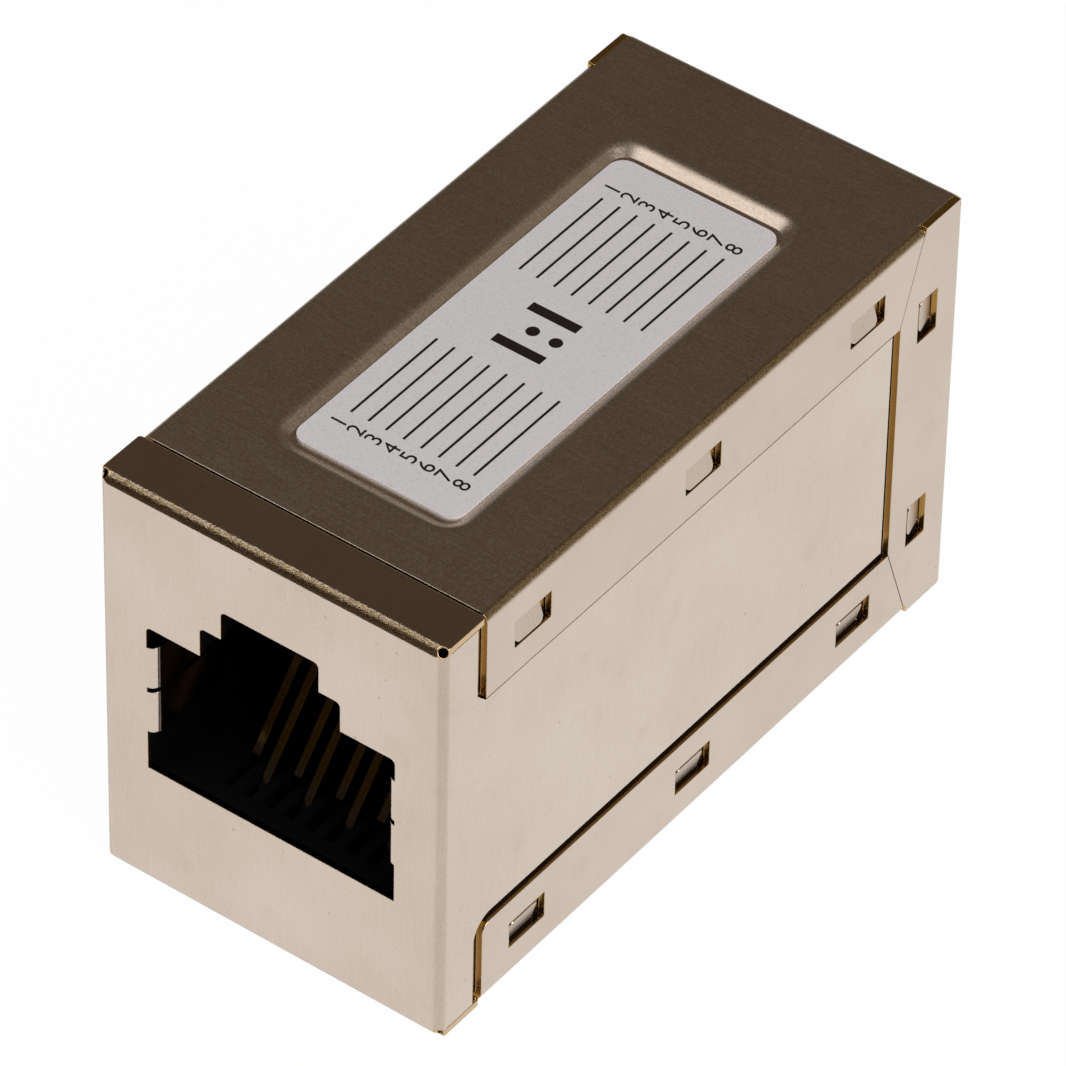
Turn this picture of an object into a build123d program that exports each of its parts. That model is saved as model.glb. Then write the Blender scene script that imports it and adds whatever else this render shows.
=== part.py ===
import os
from math import atan, degrees, radians, tan

from build123d import *

# Inline coupler for two eight-position modular plugs.
# Frame: X across, Y along the cable with the front socket at -Y, Z up.
# The origin is the middle of the underside. All sizes are millimetres.

# Case
CASE_WIDTH = 16.5
CASE_HEIGHT = 20.3
CASE_LENGTH = 33.5

# Sheet metal of both folded shells
SHEET = 0.3
BEND_RADIUS = 0.45  # outside of every fold
SLIDE_GAP = 0.04  # between a flap and the side it lies over
SEAM = 0.11  # open line between the front shell's lips and the rear shell
EDGE_GAP = 0.03  # between an edge of the sheet and the edge or face beside it
RELIEF_RADIUS = 0.2  # hole where three folds meet
STEP_ANGLE = 85  # slope of the step between a side and its sunken border

# Front shell
LIP = 2.55  # reach of its top and bottom lips behind the front face
LIP_CORNER = 0.15
SIDE_GAP = 0.55  # open strip between a side and the flaps around it
TOP_FLAP_GAP = 0.04  # the same strip below the top flaps
FRONT_SLOT = 0.56  # the same strip in front of the flaps
SLOT_CORNER = 0.5  # slanted upper end of that strip

# Rear shell
FLAP = 4.1  # reach of the flaps over the sides
TOP_FLAP = 4.2  # the same for the top flaps
FLAP_CORNER = 0.5
MITRE_GAP = 0.05
MITRE_LEAN = 1.45  # how far a mitre leans back over the flap's reach
RECESS_DEPTH = 0.35
RECESS_SLOPE = 0.56  # run of the recess wall
RECESS_EDGE = 0.7  # rounding of its rim

# Windows in the flaps, and the tongues of the sides that spring into them
WINDOW_FROM_FOLD = 1.6
WINDOW_REACH = 1.3
WINDOW_LENGTH = 2.28
WINDOWS_IN_ROW = 3
ROW_FRONT = 2.86  # from a flap's front end to the middle of its first window
ROW_REAR = 2.32  # from the middle of its last window to the rear flap
REAR_WINDOW_LENGTH = 2.08
REAR_WINDOW_HEIGHT = 4.75  # middle of a rear window, from the nearer fold
TONGUE_GAP = 0.08
TONGUE_SIDE_GAP = 0.44
TONGUE_CORNER = 0.3

# Label, and the flat strip between it and the wall of its recess
LABEL_WIDTH = 7.95
LABEL_LENGTH = 21.0
LABEL_THICKNESS = 0.1
LABEL_CORNER = 0.7
LABEL_SIDE_GAP = 0.07
LABEL_END_GAP = 0.29

# Socket opening
OPENING_WIDTH = 12.0
OPENING_BOTTOM = 6.16
OPENING_HEIGHT = 7.37
KEYWAY_WIDTH = 6.76
KEYWAY_HEIGHT = 1.44
LATCH_WIDTH = 4.7
LATCH_HEIGHT = 1.42
OPENING_CORNER = 0.25

# Spring tabs at both sides of the opening, which earth a shielded plug
TAB_RISE = 1.91  # of the lower tab above the bottom of the opening
TAB_HEIGHT = 4.41  # both tabs with the slit between them
TAB_SLIT = 0.22
TAB_LENGTH = 4.0
TAB_BEND = 0.42  # outside radius
TAB_ROOM = 0.35  # free space behind a tab

# Jack housings
HOUSING_GAP = 0.05
HOUSING_CHAMFER = 0.3
MOUTH_GAP = 0.05  # the plastic opening is this much larger than the metal one
LATCH_WALL = 1.0  # plastic behind the front face that the plug's latch grips
LATCH_ROOM_WIDTH = 7.4
LATCH_ROOM_RISE = 0.71  # above the top of the opening
PLUG_DEPTH = 12.5
TROUGH_WIDTH = 11.2
TROUGH_BOTTOM = 1.3
TROUGH_START = 1.15

# Contacts and the blocks that carry them
CONTACTS = 8
CONTACT_PITCH = 1.02
CONTACT_WIDTH = 0.36
CONTACT_THICKNESS = 0.3
CONTACT_BEND = 0.6  # radius on the centre line
CONTACT_SLOPE = 50
CONTACT_START = 3.9  # depth where the first contact passes the socket floor
CONTACT_STAGGER = 0.45
CONTACT_RISE = 4.5  # of its free end above the socket floor
LEG_HEIGHT = 3.4
LEG_ROW = 1.0  # height between the two rows of legs
SLOT_GAP = 0.09
BLOCK_DROP = 0.73  # of the block's comb below the socket floor
STOP_DROP = 0.23  # of the plug's stop below the top of the plug

# Circuit board
BOARD_THICKNESS = 1.6
BOARD_GAP = 0.35  # between the board and the case around it
BOARD_HOLE = 0.62
LEG_END_GAP = 0.1

# Sides of the smallest holes, which keeps their facets few
RELIEF_SIDES = 12
BOARD_HOLE_SIDES = 8

# Values that follow from the sizes above
HALF_WIDTH = CASE_WIDTH / 2
FRONT = -CASE_LENGTH / 2
REAR = CASE_LENGTH / 2
SINK = SHEET + SLIDE_GAP
SUNKEN = HALF_WIDTH - SINK
STEP_RUN = SINK / tan(radians(STEP_ANGLE))
LIP_END = FRONT + LIP
SHELL_START = LIP_END + SEAM
REAR_FLAP_START = REAR - FLAP
MITRE_END = REAR_FLAP_START + MITRE_LEAN
RECESS_WIDTH = LABEL_WIDTH + 2 * (LABEL_SIDE_GAP + RECESS_SLOPE)
RECESS_LENGTH = LABEL_LENGTH + 2 * (LABEL_END_GAP + RECESS_SLOPE)
RECESS_CORNER = LABEL_CORNER + RECESS_SLOPE
UNDER_RECESS = CASE_HEIGHT - RECESS_DEPTH - SHEET
WINDOW_MIDDLE = WINDOW_FROM_FOLD + WINDOW_REACH / 2
OPENING_TOP = OPENING_BOTTOM + OPENING_HEIGHT
TAB_BOTTOM = OPENING_BOTTOM + TAB_RISE
TAB_TOP = TAB_BOTTOM + TAB_HEIGHT
LATCH_ROOM_TOP = OPENING_TOP + KEYWAY_HEIGHT + LATCH_HEIGHT + LATCH_ROOM_RISE
BLOCK_TOP = OPENING_BOTTOM - BLOCK_DROP
BLOCK_STOP_TOP = OPENING_TOP - STOP_DROP
BOARD_FACE = -BOARD_THICKNESS / 2
REACH = CASE_LENGTH  # longer than any cut needs


def span(x0, x1, y0, y1, z0, z1):
    """A block between two limits on each axis."""
    corner = Pos(x0, y0, z0)
    return corner * Box(x1 - x0, y1 - y0, z1 - z0, align=(Align.MIN, Align.MIN, Align.MIN))


def both_sides(solid):
    return solid + mirror(solid, about=Plane.YZ)


def top_and_bottom(solid):
    middle = Plane.XY.offset(CASE_HEIGHT / 2)
    return solid + mirror(solid, about=middle)


def round_edges(solid, axis, place, radius):
    """Round the edges of a block that lie in one of its faces."""
    return fillet(solid.faces().sort_by(axis)[place].edges(), radius)


# Front shell: front face, two sides with sunken borders, a lip at top and bottom


def corner_at(outline, x, y):
    """The corner of an outline that lies at one place."""
    near = outline.vertices().filter_by_position(Axis.X, x - EDGE_GAP, x + EDGE_GAP)
    return near.filter_by_position(Axis.Y, y - EDGE_GAP, y + EDGE_GAP)


def side_pad(inset):
    """The part of the right side that stands flush with the flaps."""
    shrink = inset * tan(radians(STEP_ANGLE / 2)) - STEP_RUN
    top = CASE_HEIGHT - TOP_FLAP - TOP_FLAP_GAP - shrink
    bottom = FLAP + SIDE_GAP + shrink
    back = REAR_FLAP_START - SIDE_GAP - shrink
    flush_end = SHELL_START - FRONT_SLOT - shrink
    with BuildSketch(Plane.YZ.offset(SUNKEN - inset)) as outline:
        with Locations((FRONT, bottom)):
            Rectangle(back - FRONT, top - bottom, align=(Align.MIN, Align.MIN))
        with Locations((FRONT - REACH, -REACH)):
            Rectangle(flush_end - FRONT + REACH, 3 * REACH, align=(Align.MIN, Align.MIN))
        chamfer(corner_at(outline, flush_end, top), SLOT_CORNER)
        fillet(corner_at(outline, flush_end, bottom), FLAP_CORNER + SIDE_GAP)
    return extrude(outline.sketch, SINK, taper=90 - STEP_ANGLE)


def front_block(inset):
    """Outside of the front shell, or its inside when inset by the sheet."""
    back = REAR - BEND_RADIUS + inset
    bottom = inset
    top = CASE_HEIGHT - inset
    edge = HALF_WIDTH - inset
    envelope = span(-edge, edge, FRONT + inset, back, bottom, top)
    envelope = round_edges(envelope, Axis.Y, 0, BEND_RADIUS - inset)
    core = span(inset - SUNKEN, SUNKEN - inset, FRONT, back, bottom, top)
    return envelope & (core + both_sides(side_pad(inset)))


def socket_outline(margin, corner):
    """The stepped opening of the socket, with its keyway and latch slot on top."""
    width = OPENING_WIDTH + 2 * margin
    bottom = OPENING_BOTTOM - margin
    with BuildSketch(Plane.XZ) as outline:
        for step_width, top in (
            (width, OPENING_TOP),
            (KEYWAY_WIDTH + 2 * margin, OPENING_TOP + KEYWAY_HEIGHT),
            (LATCH_WIDTH + 2 * margin, OPENING_TOP + KEYWAY_HEIGHT + LATCH_HEIGHT),
        ):
            with Locations((0, bottom)):
                Rectangle(step_width, top + margin - bottom, align=(Align.CENTER, Align.MIN))
        if corner:
            levels = outline.vertices().group_by(Axis.Y)[1:]
            rows = [level.sort_by(Axis.X) for level in levels]
            fillet([end for row in rows for end in (row[0], row[-1])], corner)
    return outline.sketch


def socket_cut(depth_from, depth_to, margin=0, corner=0):
    """The opening as a prism, between two depths behind the front face."""
    prism = extrude(socket_outline(margin, corner), -(depth_to - depth_from))
    return Pos(0, FRONT + depth_from, 0) * prism


def bent_strip(points, thickness, radius, width, plane):
    """A strip of even thickness that follows rounded straight runs."""
    path = FilletPolyline(*points, radius=radius)
    return extrude(plane * trace(path, thickness), width)


def earth_tabs():
    """Two springy tabs, bent in from the right edge of the opening."""
    edge = OPENING_WIDTH / 2
    middle = TAB_BEND - SHEET / 2
    points = [
        (edge + middle, FRONT + SHEET / 2),
        (edge - middle, FRONT + SHEET / 2),
        (edge - middle, FRONT + TAB_LENGTH),
    ]
    tab = bent_strip(points, SHEET, middle, TAB_TOP - TAB_BOTTOM, Plane.XY.offset(TAB_BOTTOM))
    slit_at = (TAB_TOP + TAB_BOTTOM) / 2
    inside = edge - TAB_BEND - SHEET
    slit = span(inside, edge, FRONT - SHEET, FRONT + REACH, slit_at - TAB_SLIT / 2, slit_at + TAB_SLIT / 2)
    return tab - slit


def corner_reliefs(end):
    """Small holes at the four corners of an end where its folds meet."""
    toward = 1 if end > 0 else -1
    place = (HALF_WIDTH - BEND_RADIUS, end - toward * BEND_RADIUS, CASE_HEIGHT - BEND_RADIUS)
    diagonal = Plane(place, z_dir=(1, toward, 1))
    hole = extrude(diagonal * RegularPolygon(RELIEF_RADIUS, RELIEF_SIDES), 2 * BEND_RADIUS)
    return both_sides(top_and_bottom(hole))


def windows():
    """Frame, length and tongue side of each window on the right.

    In a frame, x points to the tongue's free end, z points outwards, and the
    side says to which end of the window, along y, the tongue stands nearer.
    """
    out = (1, 0, 0)
    first = SHELL_START + ROW_FRONT
    pitch = (REAR_FLAP_START - ROW_REAR - first) / (WINDOWS_IN_ROW - 1)
    places = []
    for number in range(WINDOWS_IN_ROW):
        y = first + number * pitch
        upper = Plane((SUNKEN, y, CASE_HEIGHT - WINDOW_MIDDLE), (0, 0, -1), out)
        lower = Plane((SUNKEN, y, WINDOW_MIDDLE), (0, 0, 1), out)
        places.append((upper, WINDOW_LENGTH, -1))
        places.append((lower, WINDOW_LENGTH, 1))
    for z in (REAR_WINDOW_HEIGHT, CASE_HEIGHT - REAR_WINDOW_HEIGHT):
        rear = Plane((SUNKEN, REAR - WINDOW_MIDDLE, z), (0, -1, 0), out)
        places.append((rear, REAR_WINDOW_LENGTH, -1))
    return places


def window_cuts():
    half = WINDOW_REACH / 2
    cuts = Part()
    for frame, length, _ in windows():
        cuts += frame.location * span(-half, half, -length / 2, length / 2, -SHEET / 2, 2 * SHEET)
    return both_sides(cuts)


def tongue_frames():
    """Frame and width of each tongue, set over to its side of the window."""
    shift = (TONGUE_SIDE_GAP - TONGUE_GAP) / 2
    for frame, length, side in windows():
        yield frame.location * Pos(0, side * shift, 0), length - TONGUE_SIDE_GAP - TONGUE_GAP


def tongue_cuts():
    """The holes that the tongues leave in the sunken border."""
    half = WINDOW_REACH / 2
    cuts = Part()
    for place, width in tongue_frames():
        edge = width / 2 + TONGUE_GAP
        cuts += place * span(-half, half, -edge, edge, -2 * SHEET, SHEET)
    return both_sides(cuts)


def tongues():
    """Tongues of the sunken border that stand up into their windows."""
    root = -WINDOW_REACH / 2
    tip = WINDOW_REACH / 2 - TONGUE_GAP
    low = -SHEET / 2
    points = [(root - SHEET, low), (root, low), (tip, low + SINK)]
    pieces = Part()
    for place, width in tongue_frames():
        strip = bent_strip(points, SHEET, SHEET, width, Plane.XZ.offset(-width / 2))
        corners = strip.faces().sort_by(Axis.X)[-1].edges().sort_by(Axis.Y)
        pieces += place * fillet([corners[0], corners[-1]], TONGUE_CORNER)
    return both_sides(pieces)


def behind_lips():
    """All above the sides' upper edge and behind the lip, which has round corners."""
    with BuildSketch(Plane.XY.offset(CASE_HEIGHT - BEND_RADIUS)) as plan:
        with Locations((0, FRONT)):
            Rectangle(REACH, 3 * REACH)
            RectangleRounded(CASE_WIDTH, 2 * LIP, LIP_CORNER, mode=Mode.SUBTRACT)
    return top_and_bottom(extrude(plan.sketch, 2 * BEND_RADIUS))


def front_shell():
    top = CASE_HEIGHT - SHEET
    lip_line = span(SUNKEN - SHEET, REACH, FRONT + BEND_RADIUS, LIP_END, top - EDGE_GAP, top)
    lip = span(-HALF_WIDTH, HALF_WIDTH, FRONT + BEND_RADIUS, LIP_END, top, CASE_HEIGHT)
    shell = front_block(0) - front_block(SHEET) + top_and_bottom(lip)
    shell -= behind_lips()
    shell -= top_and_bottom(both_sides(lip_line))
    shell -= corner_reliefs(FRONT)
    shell -= socket_cut(-SHEET, 2 * SHEET, corner=OPENING_CORNER)
    shell += both_sides(earth_tabs())
    return shell - tongue_cuts() + tongues()


# Rear shell: top, rear face and bottom in one strip, with a flap on every long edge


def recess(inset):
    """The sunken field of the top plate that takes the label."""
    angle = degrees(atan(RECESS_SLOPE / RECESS_DEPTH))
    grow = inset * tan(radians((90 - angle) / 2))
    down = Plane((0, 0, CASE_HEIGHT - inset), x_dir=(1, 0, 0), z_dir=(0, 0, -1))
    field = RectangleRounded(RECESS_WIDTH + 2 * grow, RECESS_LENGTH + 2 * grow, RECESS_CORNER + grow)
    return extrude(down * field, RECESS_DEPTH, taper=angle)


def rear_block(inset):
    """Outside of the rear shell, or its inside when inset by the sheet."""
    edge = HALF_WIDTH - inset
    top = CASE_HEIGHT - inset
    radius = BEND_RADIUS - inset
    sleeve = span(-edge, edge, SHELL_START - inset, MITRE_END, inset, top)
    sleeve = fillet(sleeve.edges().filter_by(Axis.Y), radius)
    end = span(-edge, edge, MITRE_END, REAR - inset, inset, top)
    end = round_edges(end, Axis.Y, -1, radius)
    return sleeve + end - recess(inset)


def flap_opening():
    """The part of each side that no flap covers, with the mitres at its rear corners."""
    top = CASE_HEIGHT - TOP_FLAP
    lean = MITRE_LEAN / FLAP
    half = MITRE_GAP / 2
    over = SHEET
    with BuildSketch(Plane.YZ) as field:
        with Locations((REAR_FLAP_START, FLAP)):
            Rectangle(REACH, top - FLAP, align=(Align.MAX, Align.MIN))
    with BuildSketch(Plane.YZ) as mitre:
        with BuildLine():
            Polyline(
                (REAR_FLAP_START - half - over * lean, CASE_HEIGHT - FLAP - over),
                (REAR_FLAP_START + half - over * lean, CASE_HEIGHT - FLAP - over),
                (MITRE_END + half + over * lean, CASE_HEIGHT + over),
                (MITRE_END - half + over * lean, CASE_HEIGHT + over),
                close=True,
            )
        make_face()
    opening = Pos(HALF_WIDTH - BEND_RADIUS, 0, 0) * extrude(field.sketch, REACH)
    slot = Pos(HALF_WIDTH - SHEET, 0, 0) * extrude(mitre.sketch, REACH)
    return both_sides(opening + top_and_bottom(slot))


def end_seams():
    """Lines where the rear flaps' ends stand beside the narrowed top and bottom."""
    line = span(
        HALF_WIDTH - SHEET - EDGE_GAP,
        HALF_WIDTH - SHEET,
        MITRE_END,
        REAR - BEND_RADIUS,
        CASE_HEIGHT - SHEET,
        CASE_HEIGHT + SHEET,
    )
    return both_sides(top_and_bottom(line))


def turned(solid):
    """The same thing at the other end of the case."""
    return Rot(0, 0, 180) * solid


def edges_at(solid, axis, y):
    """Edges along an axis at one place along the case."""
    return solid.edges().filter_by(axis).filter_by_position(Axis.Y, y - EDGE_GAP, y + EDGE_GAP)


def rear_shell():
    block = rear_block(0)
    rim = block.faces().sort_by(Axis.Z)[-1].inner_wires()[0].edges()
    shell = fillet(rim, RECESS_EDGE) - rear_block(SHEET)
    shell -= flap_opening()
    flap_ends = edges_at(shell, Axis.X, SHELL_START)
    shell = fillet(flap_ends.filter_by_position(Axis.Z, FLAP - SHEET, FLAP + SHEET), FLAP_CORNER)
    shell -= end_seams()
    shell -= corner_reliefs(REAR)
    shell -= turned(socket_cut(-SHEET, 2 * SHEET, corner=OPENING_CORNER))
    shell += turned(both_sides(earth_tabs()))
    return shell - window_cuts()


def label():
    floor = CASE_HEIGHT - RECESS_DEPTH
    sheet = extrude(RectangleRounded(LABEL_WIDTH, LABEL_LENGTH, LABEL_CORNER), LABEL_THICKNESS)
    return Pos(0, 0, floor) * sheet


# Jack, described for the front end and turned round for the rear end


def jack_housing():
    half = SUNKEN - SHEET - HOUSING_GAP
    top = UNDER_RECESS - HOUSING_GAP
    body = span(-half, half, FRONT + SHEET, BOARD_FACE, SHEET, top)
    body = chamfer(body.faces().sort_by(Axis.Y)[0].edges().filter_by(Axis.X), HOUSING_CHAMFER)
    wall = FRONT + SHEET + LATCH_WALL
    stop = FRONT + PLUG_DEPTH
    cavity = OPENING_WIDTH / 2 + MOUTH_GAP
    trough = TROUGH_WIDTH / 2
    room = LATCH_ROOM_WIDTH / 2
    ceiling = OPENING_TOP + MOUTH_GAP
    body -= socket_cut(SHEET / 2, SHEET + LATCH_WALL, MOUTH_GAP)
    body -= span(-cavity, cavity, wall, stop, OPENING_BOTTOM - MOUTH_GAP, ceiling)
    body -= span(-room, room, wall, stop, ceiling - SHEET, LATCH_ROOM_TOP)
    body -= span(-trough, trough, FRONT + TROUGH_START, BOARD_FACE, TROUGH_BOTTOM, OPENING_BOTTOM)
    body -= span(-trough, trough, stop - SHEET, BOARD_FACE, TROUGH_BOTTOM, BLOCK_STOP_TOP + HOUSING_GAP)
    tab_room = OPENING_WIDTH / 2 + TAB_ROOM
    return body - span(
        -tab_room,
        tab_room,
        FRONT,
        FRONT + TAB_LENGTH + TAB_ROOM,
        TAB_BOTTOM - TAB_ROOM,
        TAB_TOP + TAB_ROOM,
    )


def contact_x(number):
    return (number - (CONTACTS + 1) / 2) * CONTACT_PITCH


def leg_bottom(number):
    """Odd and even contacts run to the board in two rows."""
    return LEG_HEIGHT + LEG_ROW * (number % 2)


def contact_block():
    half = TROUGH_WIDTH / 2 - HOUSING_GAP
    start = FRONT + TROUGH_START + HOUSING_GAP
    body = span(-half, half, start, BOARD_FACE, TROUGH_BOTTOM, BLOCK_TOP)
    body += span(-half, half, FRONT + PLUG_DEPTH, BOARD_FACE, TROUGH_BOTTOM, BLOCK_STOP_TOP)
    slot_half = CONTACT_WIDTH / 2 + SLOT_GAP
    for number in range(1, CONTACTS + 1):
        x = contact_x(number)
        low = leg_bottom(number)
        body -= span(x - slot_half, x + slot_half, start + SHEET, FRONT + PLUG_DEPTH, low, BLOCK_TOP)
        tunnel_top = low + CONTACT_THICKNESS + SLOT_GAP
        body -= span(x - slot_half, x + slot_half, FRONT + PLUG_DEPTH, BOARD_FACE, low, tunnel_top)
    return body


def contact(number):
    """A stamped spring: a leg through the board, a front bend and a sloping arm."""
    leg = leg_bottom(number) + CONTACT_THICKNESS / 2
    rise = tan(radians(CONTACT_SLOPE))
    at_floor = FRONT + CONTACT_START + CONTACT_STAGGER * (number % 2)
    elbow = at_floor - (OPENING_BOTTOM - leg) / rise
    points = [
        (-BOARD_FACE - LEG_END_GAP, leg),
        (elbow, leg),
        (at_floor + CONTACT_RISE / rise, OPENING_BOTTOM + CONTACT_RISE),
    ]
    side = Plane.YZ.offset(contact_x(number) - CONTACT_WIDTH / 2)
    return bent_strip(points, CONTACT_THICKNESS, CONTACT_BEND, CONTACT_WIDTH, side)


def circuit_board():
    """A board across the case that joins each front contact to its rear one."""
    half = SUNKEN - SHEET - BOARD_GAP
    board = span(-half, half, BOARD_FACE, -BOARD_FACE, SHEET + BOARD_GAP, UNDER_RECESS - BOARD_GAP)
    hole = extrude(Plane.XZ * RegularPolygon(BOARD_HOLE / 2, BOARD_HOLE_SIDES), BOARD_THICKNESS, both=True)
    for number in range(1, CONTACTS + 1):
        for bottom in (LEG_HEIGHT, LEG_HEIGHT + LEG_ROW):
            board -= Pos(contact_x(number), 0, bottom + CONTACT_THICKNESS / 2) * hole
    return board


nodes = {
    "front_shell": front_shell(),
    "rear_shell": rear_shell(),
    "label": label(),
    "circuit_board": circuit_board(),
    "front_jack_housing": jack_housing(),
    "rear_jack_housing": turned(jack_housing()),
    "front_contact_block": contact_block(),
    "rear_contact_block": turned(contact_block()),
}
for number in range(1, CONTACTS + 1):
    nodes[f"front_contact_{number}"] = contact(number)
    nodes[f"rear_contact_{number}"] = turned(contact(number))

os.makedirs("parts", exist_ok=True)
for name, solid in nodes.items():
    export_step(solid, f"parts/{name}.step")
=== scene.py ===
# %% [markdown]
# # Inline coupler for network leads
# A coupler joins two network leads end to end. Its case is two sheets of nickel-plated
# brass, punched and folded so that they lock together, and each end has a moulded jack
# with eight sprung contacts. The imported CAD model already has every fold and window, so
# it is loaded as a fixed frame. This lesson then adds what a solid can't carry: the
# finish of each material, the printing on the label, a studio and a camera.

# %% Load the frame
from math import cos, radians, sin

import bmesh
import bpy
from mathutils import Matrix, Quaternion, Vector


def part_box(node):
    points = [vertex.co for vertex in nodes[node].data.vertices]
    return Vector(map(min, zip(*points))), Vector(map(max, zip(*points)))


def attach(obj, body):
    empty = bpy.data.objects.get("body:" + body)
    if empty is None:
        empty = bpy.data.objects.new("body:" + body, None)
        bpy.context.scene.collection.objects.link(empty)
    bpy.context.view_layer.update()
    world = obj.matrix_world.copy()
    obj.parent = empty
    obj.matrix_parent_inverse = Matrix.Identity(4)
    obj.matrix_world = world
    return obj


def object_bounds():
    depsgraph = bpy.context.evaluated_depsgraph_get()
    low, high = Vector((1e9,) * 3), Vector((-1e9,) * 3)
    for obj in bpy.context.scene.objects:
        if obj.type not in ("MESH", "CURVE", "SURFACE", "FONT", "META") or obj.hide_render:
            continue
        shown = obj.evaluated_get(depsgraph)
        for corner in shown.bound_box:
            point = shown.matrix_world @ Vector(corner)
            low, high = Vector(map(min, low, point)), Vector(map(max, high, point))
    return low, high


MM = 0.001

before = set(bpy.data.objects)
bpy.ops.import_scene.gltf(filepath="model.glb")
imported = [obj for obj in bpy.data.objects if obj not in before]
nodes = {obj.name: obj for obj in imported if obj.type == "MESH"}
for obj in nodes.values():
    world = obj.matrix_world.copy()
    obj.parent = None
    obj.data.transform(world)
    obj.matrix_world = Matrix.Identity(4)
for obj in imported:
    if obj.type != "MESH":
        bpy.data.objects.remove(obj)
cad_box = [list(corner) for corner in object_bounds()]
low, high = (Vector(corner) for corner in cad_box)
print("case in mm:", [round(side / MM, 2) for side in high - low])

# %% [markdown]
# ## Camera
# A small object looks flat and true when it is taken from far away with a long lens.
# The viewing angle is kept as an azimuth from the front towards the right, an elevation
# and a slight roll, because those are easier to reason about than a rotation matrix.

# %% Camera
AIM = Vector((0.239, -0.308, 10.138)) * MM
AZIMUTH = radians(36.243)
ELEVATION = radians(42.253)
ROLL = radians(1.267)
CAMERA_DISTANCE = 366.3 * MM
LENS = 316.4
SHIFT_X = -0.0021
SHIFT_Y = -0.0005


def bearing(azimuth, elevation):
    """Unit vector from the object, with azimuth from the front towards the right."""
    level = cos(elevation)
    return Vector((level * sin(azimuth), -level * cos(azimuth), sin(elevation)))


camera = bpy.data.objects.new("camera", bpy.data.cameras.new("camera"))
bpy.context.scene.collection.objects.link(camera)
camera.data.lens = LENS
camera.data.shift_x = SHIFT_X
camera.data.shift_y = SHIFT_Y
camera.location = AIM + bearing(AZIMUTH, ELEVATION) * CAMERA_DISTANCE
look = (AIM - camera.location).to_track_quat("-Z", "Y")
camera.rotation_mode = "QUATERNION"
camera.rotation_quaternion = look @ Quaternion((0, 0, 1), ROLL)
bpy.context.scene.camera = camera
print("camera in mm:", [round(value / MM, 1) for value in camera.location])

# %% [markdown]
# ## Helpers for materials
# Artists write colours as sRGB hex codes, but a shader works on linear light, so one
# function converts them. A second one adds any node with its settings and its inputs,
# and each input takes a value, a hex code, or the node that feeds it. Most patterns here
# are clouds of a known size, so a third one scales a noise from millimetres.

# %% Colour


def paint(code):
    """An sRGB hex colour as linear RGBA."""
    channels = [int(code[at : at + 2], 16) / 255 for at in (1, 3, 5)]
    linear = [c / 12.92 if c <= 0.04045 else ((c + 0.055) / 1.055) ** 2.4 for c in channels]
    return (*linear, 1.0)


print("mid grey in linear light:", [round(c, 3) for c in paint("#808080")])

# %% Nodes


def fill(tree, made, inputs):
    """Set a node's inputs, each a value, a hex colour, an output, or a node's first output."""
    for name, value in inputs.items():
        if isinstance(value, bpy.types.Node):
            value = value.outputs[0]
        if isinstance(value, bpy.types.NodeSocket):
            tree.links.new(value, made.inputs[name])
        else:
            made.inputs[name].default_value = paint(value) if isinstance(value, str) else value


def node(tree, kind, inputs, **settings):
    """Add a shader node. Its inputs are named, or numbered as they are listed in Blender."""
    made = tree.nodes.new("ShaderNode" + kind)
    for name, value in settings.items():
        setattr(made, name, value)
    fill(tree, made, inputs)
    return made


def new_material(name):
    material = bpy.data.materials.new(name)
    material.use_nodes = True
    return material, material.node_tree, material.node_tree.nodes["Principled BSDF"]


print("materials before the lesson:", len(bpy.data.materials))

# %% Cloudy patterns


def per_mm(*sizes):
    """Pattern scale for features of these sizes in mm along X, Y and Z."""
    return [1 / (size * MM) for size in sizes]


def mottle(tree, place, sizes, detail):
    """Clouds from 0 to 1 of these sizes in mm along X, Y and Z."""
    sized = {"Vector": place.outputs["Object"], "Scale": per_mm(*sizes)}
    sized = node(tree, "Mapping", sized)
    return node(tree, "TexNoise", {"Vector": sized, "Scale": 1.0, "Detail": detail})


print("scale of a pattern of 0.5 mm:", round(*per_mm(0.5)))

# %% [markdown]
# ## Studio floor
# The coupler stands on a white table. A table that is lit until it turns white would
# also flood the object, so the table glows at a strength of 1 only for the rays that
# come from the camera or from a reflection. The rest of its colour is a plain white
# diffuse surface, which keeps the shadow.

# %% Floor
FLOOR_RADIUS = 100 * MM
FLOOR_DROP = 0.02 * MM
FLOOR_GLOW = 0.985

floor_mesh = bpy.data.meshes.new("table")
shape = bmesh.new()
bmesh.ops.create_circle(shape, cap_ends=True, segments=96, radius=FLOOR_RADIUS)
bmesh.ops.translate(shape, verts=shape.verts, vec=(0, 0, low.z - FLOOR_DROP))
shape.to_mesh(floor_mesh)
shape.free()
floor = bpy.data.objects.new("table", floor_mesh)
bpy.context.scene.collection.objects.link(floor)
print("floor:", len(floor_mesh.polygons), "face")

# %% Floor colour
table_white, tree, surface = new_material("white_table")
fill(tree, surface, {"Base Color": "#F4F4F4", "Roughness": 0.9})
rays = node(tree, "LightPath", {}).outputs
seen = node(tree, "Math", {0: rays["Is Camera Ray"], 1: rays["Is Glossy Ray"]}, operation="ADD")
seen = node(tree, "Math", {0: seen, 1: rays["Is Transmission Ray"]}, operation="ADD")
share = node(tree, "Math", {0: seen, 1: FLOOR_GLOW}, operation="MULTIPLY", use_clamp=True)
glow = node(tree, "Emission", {"Color": "#FFFFFF", "Strength": 1.0})
mixed = node(tree, "MixShader", {0: share, 1: surface, 2: glow})
fill(tree, tree.nodes["Material Output"], {"Surface": mixed})
floor_mesh.materials.append(table_white)
print("floor finish:", table_white.name)

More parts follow.
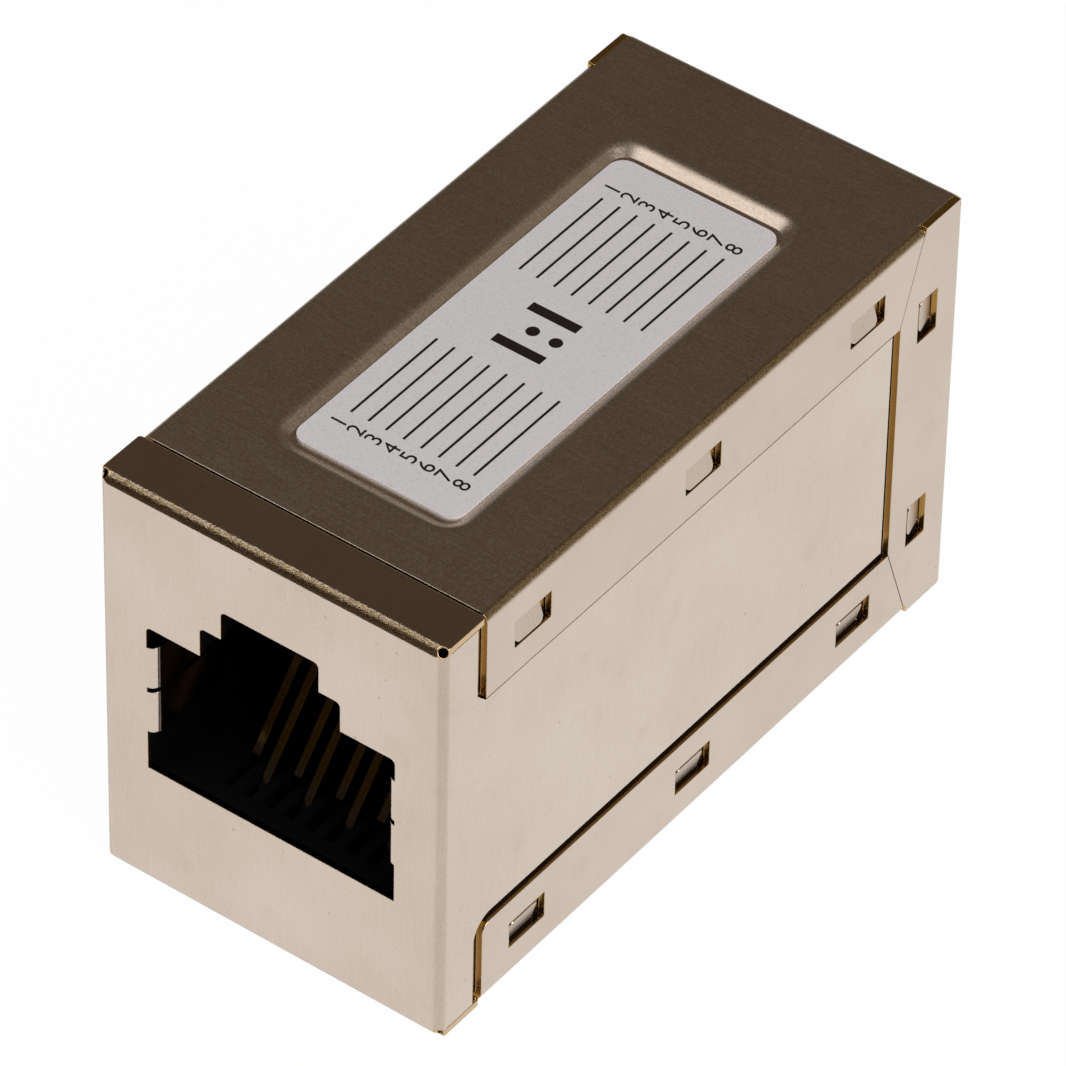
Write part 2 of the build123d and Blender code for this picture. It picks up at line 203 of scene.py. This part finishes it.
# %% [markdown]
# ## World and lamps
# Bare metal has no colour of its own to speak of: it shows the room. The room above the
# table is dim and warm, which turns the top of the case dark, while the front and the
# side mirror the white table. Past the table's edge, the world goes from white to the
# room's colour around the horizon. A softbox at the front left draws the soft band along
# the front fold, and a weaker, warmer one at the right rear lights the right fold. The
# large soft lamp at the right lights the label, because nothing on the case mirrors it
# into the lens.

# %% World
ROOM = "#54483B"
WHITE_UP_TO = -0.25
ROOM_FROM = 0.15

world = bpy.data.worlds.new("studio")
bpy.context.scene.world = world
world.use_nodes = True
tree = world.node_tree
rays = node(tree, "LightPath", {}).outputs
direction = node(tree, "TexCoord", {})
height = node(tree, "SeparateXYZ", {0: direction.outputs["Generated"]}).outputs["Z"]
below = node(tree, "MapRange", {0: height, 1: WHITE_UP_TO, 2: ROOM_FROM, 3: 1.0, 4: 0.0})
mirrored = {0: rays["Is Glossy Ray"], 1: rays["Is Transmission Ray"]}
mirrored = node(tree, "Math", mirrored, operation="ADD")
mirrored = node(tree, "Math", {0: mirrored, 1: below}, operation="MULTIPLY")
white = node(tree, "Math", {0: mirrored, 1: rays["Is Camera Ray"]}, operation="MAXIMUM")
colour = node(tree, "Mix", {0: white, 6: ROOM, 7: "#FFFFFF"}, data_type="RGBA")
fill(tree, tree.nodes["Background"], {"Color": colour.outputs[2]})
bpy.context.scene.view_settings.view_transform = "Standard"
print("world:", len(tree.nodes), "nodes")

# %% Softboxes


def softbox(name, azimuth, elevation, distance, side, power, tint="#FFFFFF"):
    """A square lamp that faces the object, with angles in degrees and sizes in mm."""
    lamp = bpy.data.lights.new(name, "AREA")
    lamp.size = side * MM
    lamp.energy = power
    lamp.color = paint(tint)[:3]
    box = bpy.data.objects.new(name, lamp)
    bpy.context.scene.collection.objects.link(box)
    toward = bearing(radians(azimuth), radians(elevation))
    box.location = AIM + toward * distance * MM
    box.rotation_euler = toward.to_track_quat("Z", "Y").to_euler()
    box.visible_camera = False


softbox("front_left_softbox", azimuth=-52, elevation=56, distance=320, side=200, power=0.21)
softbox(
    "right_rear_softbox",
    azimuth=137,
    elevation=24,
    distance=360,
    side=290,
    power=0.06,
    tint="#FFEBC6",
)
softbox("right_softbox", azimuth=75, elevation=40, distance=600, side=320, power=2.85)
print("lamps:", [lamp.name for lamp in bpy.data.lights])

# %% [markdown]
# ## Dark card
# Photographers give a shiny edge some shape by standing a dark card near it. This one
# stands at the front left, where only the rounded front fold mirrors it, and draws the
# dark line between the pale front face and the soft band above it.

# %% Dark card
CARD_WIDTH = 60 * MM
CARD_HEIGHT = 34 * MM
CARD_AZIMUTH = radians(-29)
CARD_DISTANCE = 48 * MM

card_mesh = bpy.data.meshes.new("dark_card")
shape = bmesh.new()
size = Matrix.Diagonal((CARD_WIDTH, 1, CARD_HEIGHT, 1))
upright = Matrix.Rotation(radians(90), 4, "X")
bmesh.ops.create_grid(shape, x_segments=1, y_segments=1, size=0.5, matrix=size @ upright)
shape.to_mesh(card_mesh)
shape.free()
card = bpy.data.objects.new("dark_card", card_mesh)
bpy.context.scene.collection.objects.link(card)
card.location = bearing(CARD_AZIMUTH, 0) * CARD_DISTANCE
card.location.z = low.z + CARD_HEIGHT / 2
card.rotation_euler.z = CARD_AZIMUTH
card.visible_camera = False

card_brown, tree, surface = new_material("brown_card")
fill(tree, surface, {"Base Color": "#66563F", "Roughness": 0.9})
card_mesh.materials.append(card_brown)
print("card in mm:", round(CARD_WIDTH / MM), "x", round(CARD_HEIGHT / MM))

# %% [markdown]
# ## Where the sheet is folded or cut
# The case is nickel-plated brass sheet. A fold stretches the plate and a punch cuts
# through it to the brass, so folds and cut edges need their own look. Both are easy to
# find without a mask drawn by hand. A fold lies near two outer faces of the case and is
# slanted. A cut edge lies within the sheet's thickness of an outer face and stands square
# to it. The small holes that relieve the corners are found by the distance from the
# corner's diagonal. All of it is measured from the middle of the case, with the signs
# left out, so that one rule serves both ends and both sides.

# %% Places on the case
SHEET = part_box("front_jack_housing")[0].z
CENTRE = (low + high) / 2
HALF = (high - low) / 2
INSIDE = HALF - Vector((SHEET, SHEET, SHEET)) * 1.01
OUTER_SKIN = HALF.x - 0.005 * MM
FOLD_ZONE = HALF - Vector((0.55, 0.55, 0.55)) * MM
FOLD_CORNER = HALF - Vector((0.45, 0.45, 0.45)) * MM
DIAGONAL = Vector((1, 1, 1)).normalized()
CORNER_HOLE = 0.27 * MM
SQUARE_TO = 0.06

print("sheet in mm:", round(SHEET / MM, 2))

# %% Cut edges


def cut_edge(tree, apart, facing, axes):
    """Mask of the punched edges whose sheet faces along one of these axes."""
    mask = 0.0
    for axis in axes:
        within = {0: apart.outputs[axis], 1: INSIDE["XYZ".index(axis)]}
        within = node(tree, "Math", within, operation="GREATER_THAN")
        aside = {0: facing.outputs[axis], 1: SQUARE_TO}
        aside = node(tree, "Math", aside, operation="LESS_THAN")
        added = {0: within, 1: aside, 2: mask}
        mask = node(tree, "Math", added, operation="MULTIPLY_ADD", use_clamp=True)
    if "X" in axes:
        under = {0: apart.outputs["X"], 1: OUTER_SKIN}
        under = node(tree, "Math", under, operation="LESS_THAN")
        mask = node(tree, "Math", {0: mask, 1: under}, operation="MULTIPLY")
    return mask


def corner_ring(tree, spread):
    """Mask of the rims of the holes that pierce the corners along their diagonals."""
    offset = node(tree, "VectorMath", {0: spread, 1: FOLD_CORNER}, operation="SUBTRACT")
    across = node(tree, "VectorMath", {0: offset, 1: DIAGONAL}, operation="CROSS_PRODUCT")
    radius = node(tree, "VectorMath", {0: across}, operation="LENGTH").outputs["Value"]
    return node(tree, "Math", {0: radius, 1: CORNER_HOLE}, operation="LESS_THAN")


print("rim of a corner hole in mm:", round(CORNER_HOLE / MM, 2))

# %% Folds


def folded(tree, apart, facing):
    """Mask of the rounded folds along the edges of the case."""
    zones = 0.0
    largest = 0.0
    for axis in "XYZ":
        near = {0: apart.outputs[axis], 1: FOLD_ZONE["XYZ".index(axis)]}
        near = node(tree, "Math", near, operation="GREATER_THAN")
        zones = node(tree, "Math", {0: near, 1: zones}, operation="ADD")
        largest = node(tree, "Math", {0: facing.outputs[axis], 1: largest}, operation="MAXIMUM")
    slanted = node(tree, "MapRange", {0: largest, 1: 0.985, 2: 0.9})
    two_zones = node(tree, "Math", {0: zones, 1: 1.5}, operation="GREATER_THAN")
    return node(tree, "Math", {0: slanted, 1: two_zones}, operation="MULTIPLY")


print("folds lie beyond, in mm:", [round(side / MM, 2) for side in FOLD_ZONE])

# %% [markdown]
# ## Nickel-plated brass
# The sheet is rolled brass with a thin satin nickel plate. Rolling leaves fine streaks
# in one direction, and folding the blank carries them round each fold, so on some faces
# they run along another axis. They are drawn a little coarser than real ones, which
# would be too fine to show. The plate also varies in tint and has faint smudges and a
# few specks. The folds are rougher than the flat sheet and are rubbed towards the brass,
# most of all on top. The level cut edges below the very top get painted shade: their
# inner half is darkened to near black, as the shade deep in the narrow gaps. The spring
# tongues are the only faces that lean a little, and the punch has left them matt.

# %% Colours of the plate
FINE = 0.075
LONG = 1.8
TINT_SIZE = 5.0
SMUDGE_SIZE = 1.6
SPECK_SIZE = 0.32
PEEL = 0.09
SCUFF = 0.06
SMUDGED = "#B3A291"
SPECKED = "#AA9A89"


def plate_colour(tree, place, uneven, tints):
    """Two tints of nickel, with faint smudges and a few specks."""
    tone = {0: uneven, 1: mottle(tree, place, [TINT_SIZE] * 3, 2.0)}
    tone = node(tree, "Math", tone, operation="ADD")
    tone = node(tree, "MapRange", {0: tone, 1: 0.85, 2: 1.65})
    smudge = mottle(tree, place, [SMUDGE_SIZE] * 3, 4.0)
    smudge = node(tree, "MapRange", {0: smudge, 1: 0.57, 2: 0.85, 4: 0.3})
    speck = mottle(tree, place, [SPECK_SIZE] * 3, 3.0)
    speck = node(tree, "MapRange", {0: speck, 1: 0.72, 2: 0.79})
    plate = node(tree, "Mix", {0: tone, 6: tints[0], 7: tints[1]}, data_type="RGBA").outputs[2]
    for mask, mark in ((smudge, SMUDGED), (speck, SPECKED)):
        plate = node(tree, "Mix", {0: mask, 6: plate, 7: mark}, data_type="RGBA").outputs[2]
    return plate


print("streaks in mm:", FINE, "by", LONG)

# %% Wear and painted shade


def rubbed(tree, place, fold, facing):
    """Mask of the wear on the folds, which is strongest on those that face up or down."""
    scuffs = mottle(tree, place, [SCUFF] * 3, 3.0)
    scuffs = node(tree, "MapRange", {0: scuffs, 1: 0.38, 2: 0.62, 3: 0.45})
    upward = node(tree, "MapRange", {0: facing.outputs["Z"], 1: 0.0, 2: 0.5, 3: 0.25})
    worn = node(tree, "Math", {0: fold, 1: upward}, operation="MULTIPLY")
    return node(tree, "Math", {0: worn, 1: scuffs}, operation="MULTIPLY")


def painted_gap_shade(tree, apart, facing):
    """Painted shade: the inner half of the level cut edges, apart from those at the very top.
    """
    level = node(tree, "Math", {0: facing.outputs["Z"], 1: 0.9}, operation="GREATER_THAN")
    lower = node(tree, "Math", {0: apart.outputs["Z"], 1: INSIDE.z}, operation="LESS_THAN")
    depth = {0: apart.outputs["X"], 1: (INSIDE.x + HALF.x) / 2, 2: HALF.x, 3: 1.0, 4: 0.0}
    depth = node(tree, "MapRange", depth)
    shade_mask = node(tree, "Math", {0: level, 1: lower}, operation="MULTIPLY")
    return node(tree, "Math", {0: shade_mask, 1: depth}, operation="MULTIPLY")


print("scuffs in mm:", SCUFF)

# %% Nickel sheet
GRAIN_HEIGHT = 0.003
EDGE_RADIUS = 0.07
FOLD_ROUGHNESS = 0.3
EDGE_ROUGHNESS = 0.22
TONGUE_ROUGHNESS = 0.45
RUBBED = "#80683C"
# Near-black brass: painted shade deep in the narrow gaps along the lower cut edges.
GAP_SHADE_COLOUR = "#2E2210"


def sheet_roughness(tree, uneven, satin, fold, edge, facing):
    """Satin on the flat sheet, and other values on folds, cut edges and tongues."""
    leaning = {0: facing.outputs["X"], 1: 0.96, 2: 0.02}
    leaning = node(tree, "Math", leaning, operation="COMPARE")
    rough = node(tree, "MapRange", {0: uneven, 1: 0.5, 2: 1.0, 3: satin[0], 4: satin[1]})
    places = ((fold, FOLD_ROUGHNESS), (edge, EDGE_ROUGHNESS), (leaning, TONGUE_ROUGHNESS))
    for mask, value in places:
        rough = node(tree, "Mix", {0: mask, 2: rough, 3: value})
    return rough


def sheet_relief(tree, uneven, fold_relief, fold, edge):
    """The grain as a fine bump on softly rounded edges, and none on the cut edges."""
    height = {0: fold, 3: GRAIN_HEIGHT * MM, 4: fold_relief * MM}
    bump = {
        "Strength": node(tree, "Math", {0: 1.0, 1: edge}, operation="SUBTRACT"),
        "Height": uneven,
        "Distance": node(tree, "MapRange", height),
        "Normal": node(tree, "Bevel", {"Radius": EDGE_RADIUS * MM}, samples=8),
    }
    return node(tree, "Bump", bump)


def nickel_sheet(name, tints, satin, fold_relief, brass, edge_axes, streaks, turned):
    """Satin nickel on brass. Faces along the turned axis have their own streaks."""
    material, tree, surface = new_material(name)
    place = node(tree, "TexCoord", {})
    facing = node(tree, "VectorMath", {0: place.outputs["Normal"]}, operation="ABSOLUTE")
    facing = node(tree, "SeparateXYZ", {0: facing})
    spread = {0: place.outputs["Object"], 1: CENTRE}
    spread = node(tree, "VectorMath", spread, operation="SUBTRACT")
    spread = node(tree, "VectorMath", {0: spread}, operation="ABSOLUTE")
    apart = node(tree, "SeparateXYZ", {0: spread})
    edge = {0: cut_edge(tree, apart, facing, edge_axes), 1: corner_ring(tree, spread)}
    edge = node(tree, "Math", edge, operation="MAXIMUM")
    fold = folded(tree, apart, facing)

    turned_axis, turned_streaks = turned
    along = {0: facing.outputs[turned_axis], 1: 0.7}
    grain = {
        0: node(tree, "Math", along, operation="GREATER_THAN"),
        2: mottle(tree, place, streaks, 2.0),
        3: mottle(tree, place, turned_streaks, 2.0),
    }
    uneven = {0: node(tree, "Mix", grain), 1: 0.5, 2: mottle(tree, place, [PEEL] * 3, 2.0)}
    uneven = node(tree, "Math", uneven, operation="MULTIPLY_ADD")

    plate = plate_colour(tree, place, uneven, tints)
    worn = rubbed(tree, place, fold, facing)
    plate = node(tree, "Mix", {0: worn, 6: plate, 7: RUBBED}, data_type="RGBA").outputs[2]
    # Painted shade: the lower level cut edges turn near black towards their inner half.
    shade_mask = painted_gap_shade(tree, apart, facing)
    brass = node(tree, "Mix", {0: shade_mask, 6: brass, 7: GAP_SHADE_COLOUR}, data_type="RGBA").outputs[2]
    colour = node(tree, "Mix", {0: edge, 6: plate, 7: brass}, data_type="RGBA").outputs[2]
    finish = {
        "Base Color": colour,
        "Metallic": 1.0,
        "Roughness": sheet_roughness(tree, uneven, satin, fold, edge, facing),
        "Normal": sheet_relief(tree, uneven, fold_relief, fold, edge),
    }
    fill(tree, surface, finish)
    return material


print("edge rounding in mm:", EDGE_RADIUS)

# %% Two shells
front_nickel = nickel_sheet(
    "front_satin_nickel",
    tints=("#C7B6A6", "#D3C5B8"),
    satin=(0.11, 0.17),
    fold_relief=0.026,
    brass="#CBAE88",
    edge_axes="YZ",
    streaks=(FINE, LONG, LONG),
    turned=("X", (LONG, FINE, LONG)),
)
rear_nickel = nickel_sheet(
    "rear_satin_nickel",
    tints=("#C6B6A6", "#D2C4B6"),
    satin=(0.29, 0.41),
    fold_relief=0.009,
    brass="#C6A361",
    edge_axes="XYZ",
    streaks=(LONG, FINE, LONG),
    turned=("Y", (LONG, LONG, FINE)),
)
print("shells:", front_nickel.name, rear_nickel.name)

# %% [markdown]
# ## Moulded plastics
# The jacks are black PBT with glass fibre, a stiff moulding plastic that comes out of
# its tool satin and faintly grained. The contact blocks are the same plastic, natural
# dark grey. Both are nearly black, so their grain shows only as a soft break-up of the
# highlights.

# %% Plastics
MOULD_GRAIN = 0.09
MOULD_DEPTH = 0.004
ROUGHNESS_SPREAD = 0.08


def moulded_plastic(name, dark, light, roughness):
    material, tree, surface = new_material(name)
    place = node(tree, "TexCoord", {})
    grain = mottle(tree, place, [MOULD_GRAIN] * 3, 2.0)
    rough = {0: grain, 3: roughness - ROUGHNESS_SPREAD, 4: roughness + ROUGHNESS_SPREAD}
    relief = {"Height": grain, "Distance": MOULD_DEPTH * MM, "Strength": 0.6}
    colour = node(tree, "Mix", {0: grain, 6: dark, 7: light}, data_type="RGBA")
    finish = {
        "Base Color": colour.outputs[2],
        "Specular IOR Level": 0.3,
        "Roughness": node(tree, "MapRange", rough),
        "Normal": node(tree, "Bump", relief),
    }
    fill(tree, surface, finish)
    return material


jack_plastic = moulded_plastic("black_pbt", "#030202", "#080606", 0.42)
block_plastic = moulded_plastic("dark_grey_pbt", "#050404", "#0B0909", 0.5)
print("plastics:", jack_plastic.name, block_plastic.name)

# %% [markdown]
# ## Contacts and board
# The contacts are stamped phosphor bronze, nickel plated all over, with a flash of gold
# where the plug touches them. A height mask sets the gold off from the nickel legs. Both
# colours are painted far darker than the bare metals, as painted shade deep in the
# socket. The board is glass cloth in epoxy under green solder mask. Its weave is drawn
# with two crossed waves at the pitch of the cloth.

# %% Contact metal
GOLD_FROM = 5.6
GOLD_TO = 6.2
SCRATCH = 0.06

gold_flash, tree, surface = new_material("gold_flashed_bronze_painted_shade")
place = node(tree, "TexCoord", {})
height = node(tree, "SeparateXYZ", {0: place.outputs["Object"]}).outputs["Z"]
plated = node(tree, "MapRange", {0: height, 1: GOLD_FROM * MM, 2: GOLD_TO * MM})
# Painted shade: both colours are far darker than bare nickel and gold, for the dim inside of
# the socket.
colour = node(tree, "Mix", {0: plated, 6: "#67615A", 7: "#6E5A36"}, data_type="RGBA")
scratches = mottle(tree, place, (SCRATCH, 10 * SCRATCH, 10 * SCRATCH), 3.0)
rough = node(tree, "MapRange", {0: scratches, 3: 0.08, 4: 0.2})
fill(tree, surface, {"Base Color": colour.outputs[2], "Metallic": 1.0, "Roughness": rough})
print("contact finish:", gold_flash.name)

# %% Circuit board
WEAVE = 0.5

board_green, tree, surface = new_material("glass_epoxy_board")
place = node(tree, "TexCoord", {})
sized = {"Vector": place.outputs["Object"], "Scale": per_mm(WEAVE, WEAVE, WEAVE)}
threads = {"Vector": node(tree, "Mapping", sized), "Scale": 0.5, "Distortion": 0.4}
warp = node(tree, "TexWave", threads, bands_direction="X").outputs["Fac"]
weft = node(tree, "TexWave", threads, bands_direction="Z").outputs["Fac"]
cloth = node(tree, "Math", {0: warp, 1: weft}, operation="MULTIPLY")
colour = node(tree, "Mix", {0: cloth, 6: "#12402A", 7: "#1B5738"}, data_type="RGBA")
rough = node(tree, "MapRange", {0: cloth, 3: 0.3, 4: 0.42})
fill(tree, surface, {"Base Color": colour.outputs[2], "Roughness": rough})
print("board finish:", board_green.name)

# %% [markdown]
# ## Label film
# The label is white polypropylene film with a matt varnish. Under a lens it isn't a flat
# white: tiny specks of filler show through, and the varnish is slightly uneven.

# %% Label film
FILLER = 0.13
VARNISH = 0.7

label_film, tree, surface = new_material("white_label_film")
place = node(tree, "TexCoord", {})
fade = node(tree, "MapRange", {0: mottle(tree, place, [FILLER] * 3, 4.0), 1: 0.3, 2: 0.48})
colour = node(tree, "Mix", {0: fade, 6: "#D2D0D4", 7: "#DEDCDF"}, data_type="RGBA")
rough = node(tree, "MapRange", {0: mottle(tree, place, [VARNISH] * 3, 2.0), 3: 0.42, 4: 0.58})
fill(tree, surface, {"Base Color": colour.outputs[2], "Roughness": rough})
print("label finish:", label_film.name)

# %% [markdown]
# ## Dress the CAD nodes
# Every solid of the frame keeps its shape and takes one of the finishes above through
# its own material slots.

# %% Assign the finishes
FINISHES = {
    "front_shell": front_nickel,
    "rear_shell": rear_nickel,
    "label": label_film,
    "circuit_board": board_green,
    "jack_housing": jack_plastic,
    "contact_block": block_plastic,
    "contact_": gold_flash,
}

for name, solid in nodes.items():
    finish = next(finish for key, finish in FINISHES.items() if key in name)
    for slot in solid.material_slots:
        slot.material = finish
print("dressed:", len(nodes), "nodes")

# %% [markdown]
# ## Printing on the label
# The label carries a plain wiring chart: contacts 1 to 8 at one end are joined one to
# one to contacts 1 to 8 at the other. Text is a curve in Blender, so each one is turned
# into a mesh before it is placed, and the lines are thin bars. All of it becomes one
# piece that lies on the film as a coat of ink.

# %% Printing tools
INK = 0.008 * MM
LINE_WIDTH = 0.11 * MM

ink_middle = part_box("label")[1].z + INK / 2
chart = bmesh.new()


def print_text(text, size, weight, x, y):
    """Text that reads along the case, with its foot towards the right side."""
    curve = bpy.data.curves.new("print", "FONT")
    curve.body = text
    curve.size = size
    curve.offset = weight
    curve.align_x = "CENTER"
    curve.align_y = "CENTER"
    curve.extrude = INK / 2
    holder = bpy.data.objects.new("print", curve)
    mesh = bpy.data.meshes.new_from_object(holder)
    quarter_turn = Matrix.Rotation(radians(90), 4, "Z")
    mesh.transform(Matrix.Translation((x, y, ink_middle)) @ quarter_turn)
    chart.from_mesh(mesh)
    bpy.data.objects.remove(holder)
    bpy.data.curves.remove(curve)
    bpy.data.meshes.remove(mesh)


def print_line(x, y_from, y_to):
    """A bar of ink along the case."""
    middle = Matrix.Translation((x, (y_from + y_to) / 2, ink_middle))
    bar = Matrix.Diagonal((LINE_WIDTH, y_to - y_from, INK, 1))
    bmesh.ops.create_cube(chart, size=1.0, matrix=middle @ bar)


print("ink lies at mm:", round(ink_middle / MM, 3))

# %% Wiring chart
ROWS = 8
ROW_PITCH = 0.84 * MM
CHART_HALF = 8.7 * MM
LINE_GAP = 0.7 * MM
DIGIT = 1.05 * MM
TITLE = 3.2 * MM
TITLE_WEIGHT = 0.09 * MM
TITLE_HALF = 2.6 * MM

for row in range(ROWS):
    x = (row - (ROWS - 1) / 2) * ROW_PITCH
    for end in (-CHART_HALF, CHART_HALF):
        print_text(str(row + 1), DIGIT, 0, x, end)
    print_line(x, LINE_GAP - CHART_HALF, -TITLE_HALF)
    print_line(x, TITLE_HALF, CHART_HALF - LINE_GAP)
print_text("1:1", TITLE, TITLE_WEIGHT, 0, 0)

ink_mesh = bpy.data.meshes.new("label_print")
chart.to_mesh(ink_mesh)
chart.free()
label_print = bpy.data.objects.new("label_print", ink_mesh)
bpy.context.scene.collection.objects.link(label_print)
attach(label_print, "root")
print("chart:", len(ink_mesh.polygons), "faces")

# %% [markdown]
# ## Ink
# Thermal-transfer ink is a black wax and resin layer. It lies slightly unevenly, so it
# gets a fine mottle in tone and gloss.

# %% Ink
INK_MOTTLE = 0.12

black_ink, tree, surface = new_material("black_transfer_ink")
place = node(tree, "TexCoord", {})
patches = mottle(tree, place, [INK_MOTTLE] * 3, 3.0)
colour = node(tree, "Mix", {0: patches, 6: "#0E0909", 7: "#221A18"}, data_type="RGBA")
rough = node(tree, "MapRange", {0: patches, 3: 0.4, 4: 0.6})
fill(tree, surface, {"Base Color": colour.outputs[2], "Roughness": rough})
ink_mesh.materials.append(black_ink)
print("ink:", black_ink.name)
